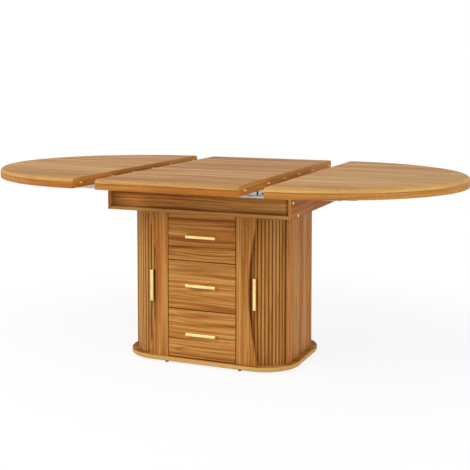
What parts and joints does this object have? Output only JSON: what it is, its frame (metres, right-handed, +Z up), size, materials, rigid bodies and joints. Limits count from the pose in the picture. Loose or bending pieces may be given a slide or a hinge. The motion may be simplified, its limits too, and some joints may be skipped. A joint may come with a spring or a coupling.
{
  "type": "swivel extending table",
  "caption": "Extending dining table with half-elliptical end leaves, a lift-out centre leaf on steel slides, and a rounded pedestal cabinet with drawers and tambour corner cupboards.",
  "frame": {"origin": "on the floor, under the middle of the table top", "axes": "+X along the table, -Y towards the side with the drawers, +Z up"},
  "size_m": [1.97, 1.108, 0.76],
  "materials": {
    "top_wood": "satin lacquered walnut-brown grain along the table",
    "front_wood": "satin lacquered brown grain, level on the drawer fronts",
    "panel_wood": "satin lacquered brown grain, upright",
    "frame_wood": "satin brown board",
    "inner_wood": "plain pale board",
    "dowel_wood": "plain pale hardwood",
    "brass": "satin pale brass",
    "slide_steel": "bright zinc plated",
    "foot_plastic": "matt black",
    "pad_felt": "pressed felt",
    "backing_cloth": "woven canvas"
  },
  "bodies": {
    "cabinet": {"plinth": "frame_wood", "feet": "foot_plastic", "cabinet_top": "panel_wood", "back_panel": "panel_wood", "drawer_runner_channels": "slide_steel", "swivel_lower_ring": "slide_steel", "swivel_balls": "slide_steel", "left_partition": "panel_wood", "left_stile": "panel_wood", "left_side_panel": "panel_wood", "right_partition": "panel_wood", "right_stile": "panel_wood", "right_side_panel": "panel_wood"},
    "top_frame": {"swivel_upper_ring": "slide_steel", "apron_bottom": "frame_wood", "apron_front": "frame_wood", "apron_back": "frame_wood", "left_apron_end": "frame_wood", "right_apron_end": "frame_wood", "apron_bolts": "slide_steel", "front_bearer": "frame_wood", "back_bearer": "frame_wood", "leaf_rest_pads": "pad_felt", "slide_channels": "slide_steel"},
    "centre": {"centre_leaf": "top_wood", "centre_leaf_dowels": "dowel_wood"},
    "left_end": {"left_leaf": "top_wood", "left_leaf_dowels": "dowel_wood", "left_leaf_rails": "slide_steel", "left_leaf_angles": "slide_steel"},
    "right_end": {"right_leaf": "top_wood", "right_leaf_rails": "slide_steel", "right_leaf_angles": "slide_steel"},
    "left_middle": {"left_slide_middles": "slide_steel"},
    "right_middle": {"right_slide_middles": "slide_steel"},
    "drawer_1": {"drawer_front_1": "front_wood", "drawer_sides_1": "inner_wood", "drawer_back_1": "inner_wood", "drawer_bottom_1": "inner_wood", "drawer_handle_1": "brass", "drawer_runners_1": "slide_steel"},
    "drawer_2": {"drawer_front_2": "front_wood", "drawer_sides_2": "inner_wood", "drawer_back_2": "inner_wood", "drawer_bottom_2": "inner_wood", "drawer_handle_2": "brass", "drawer_runners_2": "slide_steel"},
    "drawer_3": {"drawer_front_3": "front_wood", "drawer_sides_3": "inner_wood", "drawer_back_3": "inner_wood", "drawer_bottom_3": "inner_wood", "drawer_handle_3": "brass", "drawer_runners_3": "slide_steel"},
    "left_tambour": {"left_tambour_slats": "panel_wood", "left_tambour_backing": "backing_cloth", "left_tambour_pull": "brass"},
    "right_tambour": {"right_tambour_slats": "panel_wood", "right_tambour_backing": "backing_cloth", "right_tambour_pull": "brass"}
  },
  "joints": [
    {"name": "top_swivel", "type": "hinge", "parent": "cabinet", "child": "top_frame", "pos_m": [0, 0, 0.608], "axis": [0, 0, 1], "continuous": true},
    {"name": "centre_leaf_lift", "type": "slide", "parent": "top_frame", "child": "centre", "axis": [0, 0, 1], "range_m": [0, 0.15]},
    {"name": "left_leaf_slide", "type": "slide", "parent": "top_frame", "child": "left_end", "axis": [1, 0, 0], "range_m": [-0.003, 0.0955]},
    {"name": "left_middle_slide", "type": "slide", "parent": "top_frame", "child": "left_middle", "axis": [1, 0, 0], "range_m": [-0.0015, 0.04775]},
    {"name": "right_leaf_slide", "type": "slide", "parent": "top_frame", "child": "right_end", "axis": [-1, 0, 0], "range_m": [-0.003, 0.0955]},
    {"name": "right_middle_slide", "type": "slide", "parent": "top_frame", "child": "right_middle", "axis": [-1, 0, 0], "range_m": [-0.0015, 0.04775]},
    {"name": "drawer_1_slide", "type": "slide", "parent": "cabinet", "child": "drawer_1", "axis": [0, -1, 0], "range_m": [0, 0.29]},
    {"name": "drawer_2_slide", "type": "slide", "parent": "cabinet", "child": "drawer_2", "axis": [0, -1, 0], "range_m": [0, 0.29]},
    {"name": "drawer_3_slide", "type": "slide", "parent": "cabinet", "child": "drawer_3", "axis": [0, -1, 0], "range_m": [0, 0.29]},
    {"name": "left_tambour_turn", "type": "hinge", "parent": "cabinet", "child": "left_tambour", "pos_m": [-0.2265, -0.118, 0.31], "axis": [0, 0, -1], "range_deg": [0, 68]},
    {"name": "right_tambour_turn", "type": "hinge", "parent": "cabinet", "child": "right_tambour", "pos_m": [0.2265, -0.118, 0.31], "axis": [0, 0, 1], "range_deg": [0, 68]}
  ],
  "couplings": [
    {"joint": "left_middle_slide", "follows": "left_leaf_slide", "ratio": 0.5},
    {"joint": "right_middle_slide", "follows": "right_leaf_slide", "ratio": 0.5}
  ]
}
